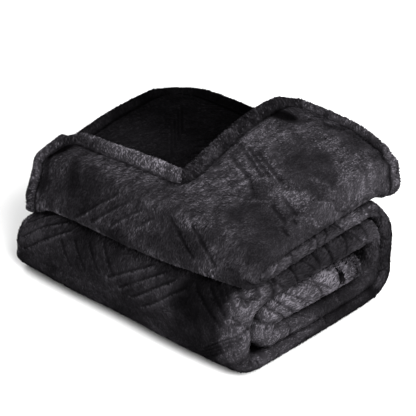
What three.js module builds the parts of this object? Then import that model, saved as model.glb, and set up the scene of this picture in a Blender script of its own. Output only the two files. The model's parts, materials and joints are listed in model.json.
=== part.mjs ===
// A plush flannel throw, folded for a shelf.
// The cloth is one rectangle. It is folded in half twice across its width, which makes a strip
// of four plies. The strip is rolled up from its inner end into a lower bundle of four runs, and
// its last two runs lie back and forth on top as an upper bundle. The top ply stops short at the
// back left, where its thick hem makes an L and leaves a recess.
// Sizes are in millimetres. X runs along the bundle to the right end, Y from the front to the
// back, and Z is up. The throw lies on Z = 0.
import * as THREE from "three";

// The cloth and the strip of four plies.
const PLY = 6.4;
const GAP = 1.5;
const PITCH = PLY + GAP;
const LEVEL = 4 * PITCH + 0.4;
const HALF_STRIP = 1.5 * PITCH + PLY / 2;
const LEFT = -163;
const RIGHT = 165;
const FOLD_LEFT = -158;
const HEM_TWO = -160;

// The hem: a tube of doubled cloth, and the stitched groove behind it. Each row is a distance in
// from the edge and the thickness there as a share of a ply. What is over a ply stands proud of
// the bundle's face, where the hem lies free.
const HEM = [
  { in: 0, thick: 0.6 },
  { in: 4, thick: 2.4 },
  { in: 11, thick: 2.6 },
  { in: 16.5, thick: 0.5 },
  { in: 23, thick: 1.0 },
];

// The L of the top ply's hem: its left arm runs along X, its right arm runs to the back.
const ARM_Y = -45;
const ARM_X = 30;

// The way the strip takes, seen from the right end: the corners of its middle line, each with its
// height in strip levels and the radius of the turn there.
const WAY = [
  { at: "open end of the top run", y: 112, level: 5, turn: 0 },
  { at: "front of the upper bundle, top", y: -100, level: 5, turn: 16 },
  { at: "front of the upper bundle, bottom", y: -100, level: 4, turn: 16 },
  { at: "back of both bundles, top", y: 103, level: 4, turn: 56 },
  { at: "back of both bundles, bottom", y: 103, level: 0, turn: 32 },
  { at: "front of the lower bundle, bottom", y: -103, level: 0, turn: 32 },
  { at: "front of the lower bundle, top", y: -103, level: 3, turn: 32 },
  { at: "inner back turn, top", y: 69, level: 3, turn: 20 },
  { at: "inner back turn, bottom", y: 69, level: 1, turn: 32 },
  { at: "inner front curl, bottom", y: -69, level: 1, turn: 16 },
  { at: "inner front curl, top", y: -69, level: 2, turn: 16 },
  { at: "inner end of the strip", y: 40, level: 2, turn: 0 },
];

// How high the main surfaces really lie, at the left end, middle and right end of each of four
// cuts through the bundle, and how far each drops at the very ends.
const CUTS = [-105, -40, 40, 112];
const PLACES = [-150, 0, 60, 150];
const ROLL_TOP = {
  front: [53, 60, 63, 70],
  frontMiddle: [55, 63, 67, 78],
  backMiddle: [56, 66, 68, 71],
  back: [53, 62, 62, 62],
  dropLeft: 10,
  dropRight: 0,
};
const LOWER_TOP = {
  front: [74, 85, 90, 96],
  frontMiddle: [76, 90, 96, 106],
  backMiddle: [78, 94, 98, 104],
  back: [74, 89, 90, 85],
  dropLeft: 16,
  dropRight: 0,
};
const FIFTH_TOP = {
  front: [99, 108, 112, 114],
  frontMiddle: [102, 113, 119, 122],
  backMiddle: [104, 118, 121, 122],
  back: [98, 112, 111, 105],
  dropLeft: 14,
  dropRight: 3,
};
const RECESS = {
  front: [120, 135, 138, 139],
  frontMiddle: [134, 138, 145, 148],
  backMiddle: [141, 143, 163, 158],
  back: [131, 139, 152, 153],
  dropLeft: 8,
  dropRight: 12,
};
const TOP = {
  front: [142, 158, 156, 153],
  frontMiddle: [148, 164, 164, 160],
  backMiddle: [152, 184, 185, 175],
  back: [148, 168, 171, 166],
  dropLeft: 15,
  dropRight: 9,
};

// Where the drops at the very ends begin and where they are complete.
const DROP_LEFT = { from: -115, to: -163 };
const DROP_RIGHT = { from: 105, to: 166 };

// How far soft lumps push the faces in and out, and how far apart the lumps are.
const SWELL = 1.2;
const LUMP_ACROSS = 36;
const LUMP_UP = 55;
const LUMP_FREE = 70;

// The borders of the layers in the even stack, and where each really lies: a share of a main
// surface, or so much less. The first five divide the lower bundle, the rest the upper one.
const BORDERS = [
  { top: "table", z: 0, surface: LOWER_TOP, share: 0 },
  { top: "bottom run", z: LEVEL, surface: ROLL_TOP, share: 0.27 },
  { top: "second run", z: 2 * LEVEL, surface: ROLL_TOP, share: 0.55 },
  { top: "middle run", z: 3 * LEVEL, surface: ROLL_TOP, share: 1 },
  { top: "lower bundle", z: 4 * LEVEL, surface: LOWER_TOP, share: 1 },
  { top: "fifth run", z: 5 * LEVEL - 1.6, surface: FIFTH_TOP, share: 1 },
  { top: "under the top run", z: 5 * LEVEL - 0.3, surface: RECESS, share: 1, less: 34 },
  { top: "recess", z: 5 * LEVEL + 3 * PITCH - 0.15, surface: RECESS, share: 1 },
  { top: "under the hem", z: 5 * LEVEL + 3 * PITCH - 0.05, surface: TOP, share: 1, less: 9 },
  { top: "top", z: 6 * LEVEL, surface: TOP, share: 1 },
];

// How far each level's two ends stand in or out, from the bottom run to the top run.
const ENDS = [
  { run: "bottom", left: 8, right: -3 },
  { run: "second", left: 8, right: 0 },
  { run: "middle", left: 10, right: 0 },
  { run: "lower bundle top", left: 11, right: 1 },
  { run: "fifth", left: 18, right: 3 },
  { run: "top", left: 24, right: 6 },
];

// A layer keeps at least this share of its even thickness.
const LEAST_SHARE = 0.6;

// Where the ends begin to stand in or out, and where they have the whole of it.
const LEFT_END = { from: 20, to: -150 };
const RIGHT_END = { from: -20, to: 150 };

// How much shallower the bundle gets at its two ends, in the lower bundle and in the upper one,
// and how much of that the back keeps. The plan's corners are rounded this way.
const SHALLOWER = {
  left: { lower: 0.05, upper: 0.14, back: 0.3 },
  right: { lower: 0.045, upper: 0.075, back: 0.8 },
};
const UPPER = { from: 3.6 * LEVEL, to: 4.6 * LEVEL };
const SHORTER_AT_FRONT = 0.04;
const SHORTER_AT_BACK = 0.015;
const HALF_LENGTH = 164;
const HALF_DEPTH = 118;

// How deep the turns at the front and back really lie: the strip is pressed flatter there.
const DEPTHS = [
  { at: "front face", even: -119, real: -118 },
  { at: "inside the front turn", even: -88, real: -98 },
  { at: "front curl", even: -84, real: -94 },
  { at: "inside the curl", even: -54, real: -66 },
  { at: "middle", even: 0, real: 0 },
  { at: "inside the inner back turn", even: 54, real: 78 },
  { at: "inner back turn", even: 84, real: 94 },
  { at: "inside the back turn", even: 88, real: 97 },
  { at: "back face", even: 119, real: 118 },
];

// Where the plies inside the strip have their points across it.
const INNER = [-138, -110, -60, 0, 50, 105];

// Into how many steps the turns are divided, and from which length a run between two turns gets
// points in its middle: three where it shows, two from the corner where the strip goes inside.
const ROUND_STEPS = 6;
const CURL_STEPS = 3;
const CORNER_STEPS = 3;
const LONG_RUN = 100;
const SHORT_RUN = 40;
const INSIDE = 6;
const CLOSE = 0.1;

const smooth = (a, b, v) => {
  const t = Math.min(1, Math.max(0, (v - a) / (b - a)));
  return t * t * (3 - 2 * t);
};

// The columns of the cloth across the strip: from the top ply's hem at the left end, round the
// right end to the bottom ply, back round the left fold and the inner right fold to the second
// ply's hem. Each has the middle of the cloth (x, n) and the direction of its upper side.
function acrossStrip() {
  const columns = [];
  let run = 0;
  const add = (x, n, turn, ply) => {
    const last = columns[columns.length - 1];
    if (last) run += Math.hypot(x - last.x, n - last.n);
    columns.push({ x, n, nx: Math.sin(turn), nn: Math.cos(turn), ply, run });
  };
  const n1 = 1.5 * PITCH;
  const n2 = 0.5 * PITCH;
  const wrap = RIGHT - HALF_STRIP;
  const lip = FOLD_LEFT + n2 + PLY / 2;
  for (const h of HEM) add(LEFT + h.in, n1, 0, 1);
  for (const x of [-110, -60, 0]) add(x, n1, 0, 1);
  for (const h of HEM) add(ARM_X + h.in, n1, 0, 1);
  for (const x of [80, 115]) add(x, n1, 0, 1);
  for (let i = 0; i <= ROUND_STEPS; i++) {
    const a = (Math.PI * i) / ROUND_STEPS;
    add(wrap + n1 * Math.sin(a), n1 * Math.cos(a), a, 4);
  }
  for (const x of [...INNER].reverse()) add(x, -n1, Math.PI, 4);
  for (let i = 0; i <= CURL_STEPS; i++) {
    const a = Math.PI + (Math.PI * i) / CURL_STEPS;
    add(lip + n2 * Math.sin(a), -2 * n2 + n2 * Math.cos(a), a, 3);
  }
  for (const x of INNER) add(x, -n2, 0, 3);
  for (let i = 0; i <= CURL_STEPS; i++) {
    const a = (Math.PI * i) / CURL_STEPS;
    add(wrap + n2 * Math.sin(a), -n2 * Math.cos(a), -a, 2);
  }
  for (const x of [...INNER].reverse().slice(0, -1)) add(x, n2, -Math.PI, 2);
  const hemTwo = HEM.filter((h) => h !== HEM[1]).reverse();
  for (const h of hemTwo) add(HEM_TWO + h.in, n2, -Math.PI, 2);
  return columns;
}

// The rows of the cloth along the strip: the middle line of the strip (y, z) with the direction
// of its upper side, from the open end of the top run to the inner end.
function alongStrip() {
  const rows = [];
  let run = 0;
  const add = (y, z, ny, nz, part) => {
    const last = rows[rows.length - 1];
    if (last) run += Math.hypot(y - last.y, z - last.z);
    rows.push({ y, z, ny, nz, part, run });
  };
  const corner = WAY.map((w) => ({ ...w, z: HALF_STRIP + w.level * LEVEL }));
  const first = corner[0];
  const second = corner[1];
  for (const h of HEM) add(first.y - h.in, first.z, 0, 1, 0);
  for (const y of [50, 5]) add(y, first.z, 0, 1, 0);
  for (const h of HEM) add(ARM_Y - h.in, first.z, 0, 1, 0);
  for (let k = 1; k < corner.length - 1; k++) {
    const [a, b, c] = [corner[k - 1], corner[k], corner[k + 1]];
    const inLength = Math.hypot(b.y - a.y, b.z - a.z);
    const outLength = Math.hypot(c.y - b.y, c.z - b.z);
    const d = { y: (b.y - a.y) / inLength, z: (b.z - a.z) / inLength };
    const e = { y: (c.y - b.y) / outLength, z: (c.z - b.z) / outLength };
    for (let i = 0; i <= CORNER_STEPS; i++) {
      const t = ((Math.PI / 2) * i) / CORNER_STEPS;
      const s = Math.sin(t);
      const q = Math.cos(t);
      const y = b.y - d.y * b.turn * (1 - s) + e.y * b.turn * (1 - q);
      const z = b.z - d.z * b.turn * (1 - s) + e.z * b.turn * (1 - q);
      const dirY = d.y * q + e.y * s;
      const dirZ = d.z * q + e.z * s;
      const last = rows[rows.length - 1];
      if (Math.hypot(y - last.y, z - last.z) > CLOSE) add(y, z, dirZ, -dirY, k);
    }
    const left = outLength - b.turn - c.turn;
    const parts = left > LONG_RUN ? (k < INSIDE ? 3 : 2) : left > SHORT_RUN ? 2 : 1;
    for (let i = 1; i < parts; i++) {
      const t = b.turn + (left * i) / parts;
      add(b.y + e.y * t, b.z + e.z * t, e.z, -e.y, k);
    }
  }
  const end = corner[corner.length - 1];
  const plain = [...HEM].reverse().slice(3);
  for (const h of plain) add(end.y - h.in, end.z, 0, -1, corner.length - 1);
  return rows;
}

// A smooth curve through values at the given stops.
function through(stops, values, t) {
  let i = 0;
  while (i < stops.length - 2 && t > stops[i + 1]) i++;
  const slope = (j) => {
    const a = Math.max(0, j - 1);
    const b = Math.min(stops.length - 1, j + 1);
    return (values[b] - values[a]) / (stops[b] - stops[a]);
  };
  const w = stops[i + 1] - stops[i];
  const u = Math.min(1, Math.max(0, (t - stops[i]) / w));
  const v = 1 - u;
  return (
    values[i] * (1 + 2 * u) * v * v +
    slope(i) * w * u * v * v +
    values[i + 1] * (3 - 2 * u) * u * u -
    slope(i + 1) * w * u * u * v
  );
}

// The height of a main surface over a point of the plan.
function surfaceHeight(surface, x, y) {
  const cuts = [surface.front, surface.frontMiddle, surface.backMiddle, surface.back];
  const along = cuts.map((values) => through(PLACES, values, x));
  const left = surface.dropLeft * smooth(DROP_LEFT.from, DROP_LEFT.to, x);
  const right = surface.dropRight * smooth(DROP_RIGHT.from, DROP_RIGHT.to, x);
  return through(CUTS, along, y) - left - right;
}

// The height of a border between two layers, which never sinks into the one below.
function borderHeight(k, x, y) {
  const border = BORDERS[k];
  const height = border.share * surfaceHeight(border.surface, x, y) - (border.less ?? 0);
  if (k < 5) return height;
  const below = BORDERS[k - 1];
  return Math.max(height, borderHeight(k - 1, x, y) + LEAST_SHARE * (border.z - below.z));
}

function between(list, key, value, t) {
  let i = 0;
  while (i < list.length - 2 && t > list[i + 1][key]) i++;
  const a = list[i];
  const b = list[i + 1];
  return a[value] + ((b[value] - a[value]) * (t - a[key])) / (b[key] - a[key]);
}

const LEVELS = ENDS.map((e, i) => ({ ...e, z: HALF_STRIP + i * LEVEL }));

// Where a point of the even stack really lies.
function settle(x, y, z) {
  let k = 1;
  while (k < BORDERS.length - 1 && z > BORDERS[k].z) k++;
  const a = BORDERS[k - 1];
  const b = BORDERS[k];
  const low = borderHeight(k - 1, x, y);
  const high = borderHeight(k, x, y);
  const height = low + ((high - low) * (z - a.z)) / (b.z - a.z);
  const level = Math.min(LEVELS[5].z, Math.max(LEVELS[0].z, z));
  const left = between(LEVELS, "z", "left", level) * smooth(LEFT_END.from, LEFT_END.to, x);
  const right = between(LEVELS, "z", "right", level) * smooth(RIGHT_END.from, RIGHT_END.to, x);
  const depth = between(DEPTHS, "even", "real", y);
  const upper = smooth(UPPER.from, UPPER.to, z);
  const end = x < 0 ? SHALLOWER.left : SHALLOWER.right;
  const shallower = (end.lower + (end.upper - end.lower) * upper) * (y < 0 ? 1 : end.back);
  const shorter = y < 0 ? SHORTER_AT_FRONT : SHORTER_AT_BACK;
  const px = (x + left + right) * (1 - shorter * Math.abs(y / HALF_DEPTH) ** 3);
  const py = depth * (1 - shallower * Math.abs(x / HALF_LENGTH) ** 3);
  const free = Math.min(1, height / LUMP_FREE);
  const lump = Math.sin(x / LUMP_ACROSS + 0.7) * Math.sin(y / LUMP_ACROSS + 1.9) * free;
  return [
    px + SWELL * Math.sin(y / LUMP_ACROSS + z / LUMP_UP),
    py + SWELL * Math.sin(x / LUMP_ACROSS + z / LUMP_UP + 1),
    height + SWELL * lump,
  ];
}

function hemThickness(distance) {
  const i = HEM.findIndex((h) => h.in > distance);
  if (i < 0) return 1;
  const a = HEM[i - 1];
  const b = HEM[i];
  return a.thick + ((b.thick - a.thick) * (distance - a.in)) / (b.in - a.in);
}

// The whole cloth as one closed skin: its upper side, its under side and its edges.
function makeThrow() {
  const columns = acrossStrip();
  const rows = alongStrip();
  const across = columns[columns.length - 1].run;
  const along = rows[rows.length - 1].run;
  const cut = (c, r) => {
    const a = columns[c];
    const b = columns[c + 1];
    const p = rows[r];
    const q = rows[r + 1];
    if (a.ply !== 1 || p.part > 0) return false;
    return b.x < ARM_X + CLOSE && q.y > ARM_Y - CLOSE;
  };
  const points = [];
  const index = new Map();
  const vertex = (c, r, side) => {
    const key = (c * rows.length + r) * 2 + (side > 0 ? 1 : 0);
    if (index.has(key)) return index.get(key);
    const col = columns[c];
    const row = rows[r];
    let edge = Math.min(col.run, across - col.run, row.run, along - row.run);
    const top = row.part === 0 && col.ply === 1;
    if (top) edge = Math.min(edge, Math.hypot(Math.max(0, col.x - ARM_X), Math.max(0, ARM_Y - row.y)));
    const thick = hemThickness(Math.max(0, edge));
    const free = row.part <= 1 && (col.ply === 1 || (col.ply === 2 && row.part === 0));
    const outer = col.ply === 1 ? side > 0 : side < 0;
    const proud = free && outer ? (Math.max(0, thick - 1) * PLY) / 2 : 0;
    const off = (side * Math.min(1, thick) * PLY) / 2;
    const middle = settle(col.x, row.y + row.ny * col.n, row.z + row.nz * col.n);
    const n = col.n + col.nn * off;
    const face = settle(col.x + col.nx * off, row.y + row.ny * n, row.z + row.nz * n);
    const outward = face.map((v, i) => v - middle[i]);
    const length = Math.max(CLOSE, Math.hypot(...outward));
    index.set(key, points.length / 3);
    points.push(...face.map((v, i) => v + (outward[i] / length) * proud));
    return index.get(key);
  };
  const triangles = [];
  const quad = (a, b, c, d) => triangles.push(a, b, c, a, c, d);
  const kept = (c, r) =>
    c >= 0 && r >= 0 && c < columns.length - 1 && r < rows.length - 1 && !cut(c, r);
  for (let c = 0; c < columns.length - 1; c++) {
    for (let r = 0; r < rows.length - 1; r++) {
      if (!kept(c, r)) continue;
      const t = [vertex(c, r, 1), vertex(c + 1, r, 1), vertex(c + 1, r + 1, 1), vertex(c, r + 1, 1)];
      const b = [vertex(c, r, -1), vertex(c + 1, r, -1), vertex(c + 1, r + 1, -1), vertex(c, r + 1, -1)];
      quad(t[3], t[2], t[1], t[0]);
      quad(b[0], b[1], b[2], b[3]);
      if (!kept(c, r - 1)) quad(t[0], t[1], b[1], b[0]);
      if (!kept(c + 1, r)) quad(t[1], t[2], b[2], b[1]);
      if (!kept(c, r + 1)) quad(t[2], t[3], b[3], b[2]);
      if (!kept(c - 1, r)) quad(t[3], t[0], b[0], b[3]);
    }
  }
  const geometry = new THREE.BufferGeometry();
  geometry.setAttribute("position", new THREE.Float32BufferAttribute(points, 3));
  geometry.setIndex(triangles);
  geometry.computeBoundingBox();
  const box = geometry.boundingBox;
  geometry.translate(-(box.min.x + box.max.x) / 2, -(box.min.y + box.max.y) / 2, -box.min.z);
  geometry.computeVertexNormals();
  return geometry;
}

const throwMaterial = new THREE.MeshStandardMaterial({ color: 0x2e2b2f, roughness: 0.95 });
const blanket = new THREE.Mesh(makeThrow(), throwMaterial);
blanket.name = "blanket";

const model = new THREE.Group();
model.name = "folded_throw";
model.add(blanket);

export default model;
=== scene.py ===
# %% [markdown]
# A folded plush throw
#
# The object is one plush flannel throw, folded in half twice across its width and then rolled and
# laid back and forth along its length, as it lies on a shop's shelf. The frame gives the packed
# solid, which has the same folds at their real size. Here the cloth is made again, finer and
# softer: a skin of cloth, its hem, its embossed lattice and its pile of short tufts.

import json
import math

import bpy
import numpy as np
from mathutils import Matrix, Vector
from mathutils.bvhtree import BVHTree

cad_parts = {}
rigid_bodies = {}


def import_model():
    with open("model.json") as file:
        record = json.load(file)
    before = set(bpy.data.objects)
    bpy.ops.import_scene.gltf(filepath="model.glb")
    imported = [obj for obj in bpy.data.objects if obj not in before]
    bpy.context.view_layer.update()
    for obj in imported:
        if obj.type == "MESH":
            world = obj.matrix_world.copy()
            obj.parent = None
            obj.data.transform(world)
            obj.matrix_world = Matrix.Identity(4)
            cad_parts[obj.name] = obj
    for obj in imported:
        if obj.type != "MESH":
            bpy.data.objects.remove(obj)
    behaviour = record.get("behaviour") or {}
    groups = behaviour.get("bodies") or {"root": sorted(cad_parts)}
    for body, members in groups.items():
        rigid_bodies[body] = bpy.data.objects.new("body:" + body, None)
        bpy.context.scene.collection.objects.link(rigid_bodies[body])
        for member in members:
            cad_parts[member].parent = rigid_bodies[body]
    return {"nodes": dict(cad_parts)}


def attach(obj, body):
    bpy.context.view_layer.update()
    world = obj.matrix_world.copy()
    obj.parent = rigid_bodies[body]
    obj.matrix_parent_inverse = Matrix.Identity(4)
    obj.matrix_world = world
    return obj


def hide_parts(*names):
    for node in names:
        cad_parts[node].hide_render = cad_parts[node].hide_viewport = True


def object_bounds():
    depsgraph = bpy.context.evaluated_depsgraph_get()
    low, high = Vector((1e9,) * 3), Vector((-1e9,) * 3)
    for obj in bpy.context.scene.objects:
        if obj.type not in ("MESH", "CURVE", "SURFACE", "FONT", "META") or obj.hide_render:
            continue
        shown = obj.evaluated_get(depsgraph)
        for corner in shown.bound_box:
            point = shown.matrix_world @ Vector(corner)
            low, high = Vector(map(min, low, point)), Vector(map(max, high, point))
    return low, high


for left_over in list(bpy.data.objects):
    bpy.data.objects.remove(left_over)
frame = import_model()
cad_low, cad_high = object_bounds()
MM = 0.001
cad_size = [round((b - a) / MM) for a, b in zip(cad_low, cad_high)]
print("the packed solid in mm:", cad_size, "nodes:", list(frame["nodes"]))

# %% [markdown]
# The camera stands well back and uses a long lens, as product photographs of folded textiles do:
# lines that are parallel on the bundle stay nearly parallel in the picture. The direction, the
# distance and the small shift were matched to the photograph's outline before anything was
# modelled, so the picture and the model can be compared point by point.

# %% Camera
CAMERA_AZIMUTH = 42.507
CAMERA_ELEVATION = 31.62
CAMERA_DISTANCE = 2.357
CAMERA_TARGET = Vector((0.0, 0.0, 0.08))
CAMERA_LENS = 207.7
CAMERA_SHIFT = (0.0130, 0.0087)


def direction(azimuth, elevation):
    """The unit vector from the object towards something at that azimuth and elevation."""
    a, e = math.radians(azimuth), math.radians(elevation)
    return Vector((math.sin(a) * math.cos(e), -math.cos(a) * math.cos(e), math.sin(e)))


camera_data = bpy.data.cameras.new("long_lens")
camera_data.lens = CAMERA_LENS
camera_data.sensor_width = 36
camera_data.shift_x, camera_data.shift_y = CAMERA_SHIFT
camera = bpy.data.objects.new("long_lens", camera_data)
back = direction(CAMERA_AZIMUTH, CAMERA_ELEVATION)
camera.location = CAMERA_TARGET + back * CAMERA_DISTANCE
camera.rotation_euler = (-back).to_track_quat("-Z", "Y").to_euler()
bpy.context.scene.collection.objects.link(camera)
bpy.context.scene.camera = camera
print("camera at", [round(c, 3) for c in camera.location])

# %% [markdown]
# The sizes of the cloth, in millimetres. Two halvings make a strip of four plies. A ply of this
# plush is six to seven millimetres thick with its pile, and the skin that is modelled here is
# thinner, because the tufts fill the rest. The strip is described once across its width and once
# along its length, so every point of the cloth is one place across and one place along. The hem
# is a tube of doubled cloth with a stitched groove behind it. Its profile is the thickness of the
# cloth as a share of a ply, against the distance from the edge.

# %% Sizes of the cloth
PLY = 6.4
PILE_ROOM = 1.5
GAP = 1.5
PITCH = PLY + GAP
STRIP_GAP = 0.4
LEVEL = 4 * PITCH + STRIP_GAP
HALF_STRIP = 1.5 * PITCH + PLY / 2
# the top ply's hem and the right end of the strip, then the left fold and the second ply's hem
LEFT, RIGHT = -163, 165
FOLD_LEFT, HEM_TWO = -158, -160
HEM_PROFILE = [(0, 0.15), (0.5, 0.9), (1.6, 1.7), (3.4, 2.4), (6, 2.8), (8.5, 2.85), (11, 2.4),
               (13.2, 1.6), (15, 0.7), (16.4, 0.3), (18, 0.3), (20.5, 0.7), (24, 1.0)]
HEM_STEPS = [distance for distance, thickness in HEM_PROFILE]
# the top ply stops short at the back left, and the two arms of its hem meet in this corner
ARM_Y, ARM_X = -45, 30
# places that are less than this apart are one place
NEARLY = 0.1

# name of the corner, y, height in levels of the strip, radius of the turn
WAY = [
    ("open end of the top run", 112, 5, 0),
    ("front of the upper bundle, top", -100, 5, 16),
    ("front of the upper bundle, bottom", -100, 4, 16),
    ("back of both bundles, top", 103, 4, 56),
    ("back of both bundles, bottom", 103, 0, 32),
    ("front of the lower bundle, bottom", -103, 0, 32),
    ("front of the lower bundle, top", -103, 3, 32),
    ("inner back turn, top", 69, 3, 20),
    ("inner back turn, bottom", 69, 1, 32),
    ("inner front curl, bottom", -69, 1, 16),
    ("inner front curl, top", -69, 2, 16),
    ("inner end of the strip", 40, 2, 0),
]
print("a strip of four plies,", round(2 * HALF_STRIP, 1), "mm thick, in", len(WAY) - 1, "runs")

# %% [markdown]
# Folded cloth never lies in even layers. These tables say how high the main surfaces really lie,
# at four cuts from the front to the back and four places from the left end to the right. A smooth
# curve through the values gives the height anywhere. The top is highest behind its middle, where
# the folds below push it up, and all surfaces drop at the two ends.

# %% Where the layers really lie
CUTS = [-105, -40, 40, 112]
PLACES = [-150, 0, 60, 150]
ROLL_TOP = dict(cuts=[[53, 60, 63, 70], [55, 63, 67, 78], [56, 66, 68, 71], [53, 62, 62, 62]],
                drop=(10, 0))
LOWER_TOP = dict(cuts=[[74, 85, 90, 96], [76, 90, 96, 106], [78, 94, 98, 104], [74, 89, 90, 85]],
                 drop=(16, 0))
FIFTH_TOP = dict(cuts=[[99, 108, 112, 114], [102, 113, 119, 122], [104, 118, 121, 122],
                       [98, 112, 111, 105]], drop=(14, 3))
RECESS = dict(cuts=[[120, 135, 138, 139], [134, 138, 145, 148], [141, 143, 163, 158],
                    [131, 139, 152, 153]], drop=(8, 12))
TOP = dict(cuts=[[142, 158, 156, 153], [148, 164, 164, 160], [152, 184, 185, 175],
                 [148, 168, 171, 166]], drop=(15, 9))
DROP_LEFT, DROP_RIGHT = (-115, -163), (105, 166)

# height in the even stack, surface, share of that surface's height, and how much less
BORDERS = [
    (0, LOWER_TOP, 0, 0),
    (LEVEL, ROLL_TOP, 0.27, 0),
    (2 * LEVEL, ROLL_TOP, 0.55, 0),
    (3 * LEVEL, ROLL_TOP, 1, 0),
    (4 * LEVEL, LOWER_TOP, 1, 0),
    (5 * LEVEL - 1.6, FIFTH_TOP, 1, 0),
    (5 * LEVEL - 0.3, RECESS, 1, 34),
    (5 * LEVEL + 3 * PITCH - 0.15, RECESS, 1, 0),
    (5 * LEVEL + 3 * PITCH - 0.05, TOP, 1, 9),
    (6 * LEVEL, TOP, 1, 0),
]
# from this border on, each keeps at least this share of its even distance to the one below
FREE_BORDERS, LEAST_SHARE = 5, 0.6


def smooth(start, stop, value):
    """0 before start, 1 after stop, and a soft step between them."""
    t = np.clip((value - start) / (stop - start), 0, 1)
    return t * t * (3 - 2 * t)


def through(stops, values, t):
    """A smooth curve through values at the stops, for arrays of t; values may be arrays too."""
    values = [np.asarray(v, float) * np.ones_like(t) for v in values]
    last = len(stops) - 1
    slopes = []
    for j in range(last + 1):
        a, b = max(0, j - 1), min(last, j + 1)
        slopes.append((values[b] - values[a]) / (stops[b] - stops[a]))
    result = np.zeros_like(t)
    place = np.clip(np.searchsorted(stops, t, side="left") - 1, 0, last - 1)
    for i in range(last):
        w = stops[i + 1] - stops[i]
        u = np.clip((t - stops[i]) / w, 0, 1)
        v = 1 - u
        piece = (values[i] * (1 + 2 * u) * v * v + slopes[i] * w * u * v * v
                 + values[i + 1] * (3 - 2 * u) * u * u - slopes[i + 1] * w * u * u * v)
        result = np.where(place == i, piece, result)
    return result


def surface_height(surface, x, y):
    """The height of a main surface over points of the plan."""
    along = [through(PLACES, cut, x) for cut in surface["cuts"]]
    left, right = surface["drop"]
    drop = left * smooth(*DROP_LEFT, x) + right * smooth(*DROP_RIGHT, x)
    return through(CUTS, along, y) - drop


def border_heights(x, y):
    """The heights of all borders over points of the plan, in order and never crossing."""
    heights = []
    for k, (z, surface, share, less) in enumerate(BORDERS):
        height = share * surface_height(surface, x, y) - less
        if k >= FREE_BORDERS:
            height = np.maximum(height, heights[-1] + LEAST_SHARE * (z - BORDERS[k - 1][0]))
        heights.append(height)
    return heights


middle_top = surface_height(TOP, np.array([0.0]), np.array([0.0]))[0]
print("the top lies", round(float(middle_top)), "mm high in the middle of the bundle")

# %% [markdown]
# The plan is uneven as well: each layer's ends stand in or out, the turns at the front and back
# are pressed flatter than a circle, the corners of the bundle are rounded, and low lumps run
# through everything. One function moves any point of the even stack to where it really lies.

# %% From the even stack to the real bundle
# for each level of the strip: how far its left and its right end stand in or out
ENDS = [(8, -3), (8, 0), (10, 0), (11, 1), (18, 3), (24, 6)]
LEFT_END, RIGHT_END = (20, -150), (-20, 150)
DEPTH_EVEN = [-119, -88, -84, -54, 0, 54, 84, 88, 119]
DEPTH_REAL = [-118, -98, -94, -66, 0, 78, 94, 97, 118]
SHALLOWER_LEFT = dict(lower=0.05, upper=0.14, back=0.3)
SHALLOWER_RIGHT = dict(lower=0.045, upper=0.075, back=0.8)
UPPER = (3.6 * LEVEL, 4.6 * LEVEL)
SHORTER_AT_FRONT, SHORTER_AT_BACK = 0.04, 0.015
HALF_LENGTH, HALF_DEPTH = 164, 118
ROUNDING = 3
SWELL = 1.2
LUMP_ACROSS, LUMP_UP, LUMP_FREE = 36, 55, 70
LUMP_START = (0.7, 1.9)


def settle(x, y, z):
    """Where points of the even stack really lie, as an array of (x, y, z)."""
    heights = border_heights(x, y)
    levels = [border[0] for border in BORDERS]
    height = np.zeros_like(x)
    for k in range(1, len(levels)):
        low, high = heights[k - 1], heights[k]
        share = (z - levels[k - 1]) / (levels[k] - levels[k - 1])
        below = z > levels[k - 1] if k > 1 else np.ones_like(x, bool)
        height = np.where(below, low + (high - low) * share, height)
    middles = [HALF_STRIP + i * LEVEL for i in range(len(ENDS))]
    left = np.interp(z, middles, [e[0] for e in ENDS]) * smooth(*LEFT_END, x)
    right = np.interp(z, middles, [e[1] for e in ENDS]) * smooth(*RIGHT_END, x)
    depth = np.interp(y, DEPTH_EVEN, DEPTH_REAL)
    upper = smooth(*UPPER, z)
    lower, higher, behind = (np.where(x < 0, SHALLOWER_LEFT[key], SHALLOWER_RIGHT[key])
                             for key in ("lower", "upper", "back"))
    shallower = (lower + (higher - lower) * upper) * np.where(y < 0, 1, behind)
    shorter = np.where(y < 0, SHORTER_AT_FRONT, SHORTER_AT_BACK)
    px = (x + left + right) * (1 - shorter * np.abs(y / HALF_DEPTH) ** ROUNDING)
    py = depth * (1 - shallower * np.abs(x / HALF_LENGTH) ** ROUNDING)
    free = np.minimum(1, height / LUMP_FREE)
    lump = np.sin(x / LUMP_ACROSS + LUMP_START[0]) * np.sin(y / LUMP_ACROSS + LUMP_START[1]) * free
    px = px + SWELL * np.sin(y / LUMP_ACROSS + z / LUMP_UP)
    py = py + SWELL * np.sin(x / LUMP_ACROSS + z / LUMP_UP + 1)
    return np.stack([px, py, height + SWELL * lump], axis=-1)


# %% [markdown]
# The cloth is a net of columns, which run along the strip, and rows, which run across it. Where
# the cloth shows, the net has a mesh of about three millimetres, because the pressed lines of the
# lattice are only four or five millimetres wide. Where it is hidden inside the bundle it is much
# coarser. Two neighbouring rows may have different columns, and are then joined by triangles.

# %% Columns across the strip
STEP_SEEN, STEP_BACK, STEP_HIDDEN = 2.9, 4.2, 26
ROUND_STEPS, CURL_STEPS = 16, 5


def spread(start, stop, step):
    """Even places from start to just before stop, about a step apart."""
    count = max(1, round(abs(stop - start) / step))
    return [start + (stop - start) * i / count for i in range(count)]


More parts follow.
